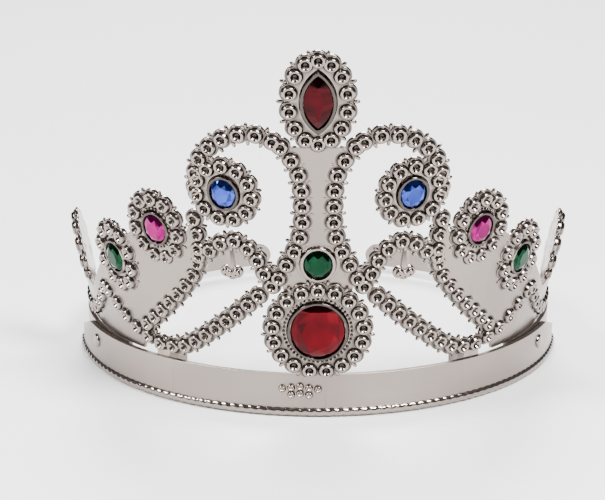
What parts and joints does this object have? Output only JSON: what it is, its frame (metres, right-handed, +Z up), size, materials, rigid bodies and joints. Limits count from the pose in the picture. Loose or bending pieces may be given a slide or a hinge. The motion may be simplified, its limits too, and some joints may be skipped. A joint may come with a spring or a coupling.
{
  "type": "dress-up crown",
  "caption": "Stiff silver dress-up crown: smooth brow band, outward-leaning beaded openwork front with set coloured stones, and sliding back arms for size.",
  "frame": {"origin": "on the plane that the band stands on, under the middle of the whole object's box; the ring's own centre is 14.3 mm behind it", "axes": "+Z up, -Y out of the front, +X to the right as seen from the front"},
  "size_m": [0.1532, 0.1699, 0.1166],
  "materials": {
    "silver_plating": "moulded plastic with a bright warm-grey metallised coating",
    "crest_red": "deep red polished stone of clear plastic, foiled behind",
    "base_red": "bright red cut stone of clear plastic, foiled behind",
    "green": "green cut stone of clear plastic, foiled behind",
    "blue": "blue cut stone of clear plastic, foiled behind",
    "pink": "magenta cut stone of clear plastic, foiled behind"
  },
  "bodies": {
    "front": {"brow_band": "silver_plating", "rope_trim": "silver_plating", "band_floret": "silver_plating", "left_rivet": "silver_plating", "right_rivet": "silver_plating", "centre_column": "silver_plating", "left_column_strand": "silver_plating", "right_column_strand": "silver_plating", "crest_setting": "silver_plating", "crest_stone": "crest_red", "column_setting": "silver_plating", "column_stone": "green", "base_setting": "silver_plating", "base_stone": "base_red", "left_scroll": "silver_plating", "right_scroll": "silver_plating", "left_scroll_setting": "silver_plating", "right_scroll_setting": "silver_plating", "left_scroll_stone": "blue", "right_scroll_stone": "blue", "left_panel": "silver_plating", "right_panel": "silver_plating", "left_panel_setting": "silver_plating", "right_panel_setting": "silver_plating", "left_panel_stone": "pink", "right_panel_stone": "pink", "left_wing_setting": "silver_plating", "right_wing_setting": "silver_plating", "left_wing_stone": "green", "right_wing_stone": "green", "left_side_setting": "silver_plating", "right_side_setting": "silver_plating", "left_side_stone": "blue", "right_side_stone": "blue", "left_garland": "silver_plating", "right_garland": "silver_plating", "left_swag": "silver_plating", "right_swag": "silver_plating", "left_side_strand": "silver_plating", "right_side_strand": "silver_plating", "left_wing_strand": "silver_plating", "right_wing_strand": "silver_plating", "left_hem": "silver_plating", "right_hem": "silver_plating"},
    "left_back": {"left_arm": "silver_plating"},
    "right_back": {"right_arm": "silver_plating"}
  },
  "joints": [
    {"name": "left_arm_slide", "type": "hinge", "parent": "front", "child": "left_back", "pos_m": [0, 0.0143, 0], "axis": [0, 0, -1], "range_deg": [-8, 8]},
    {"name": "right_arm_slide", "type": "hinge", "parent": "front", "child": "right_back", "pos_m": [0, 0.0143, 0], "axis": [0, 0, 1], "range_deg": [-8, 8]}
  ]
}
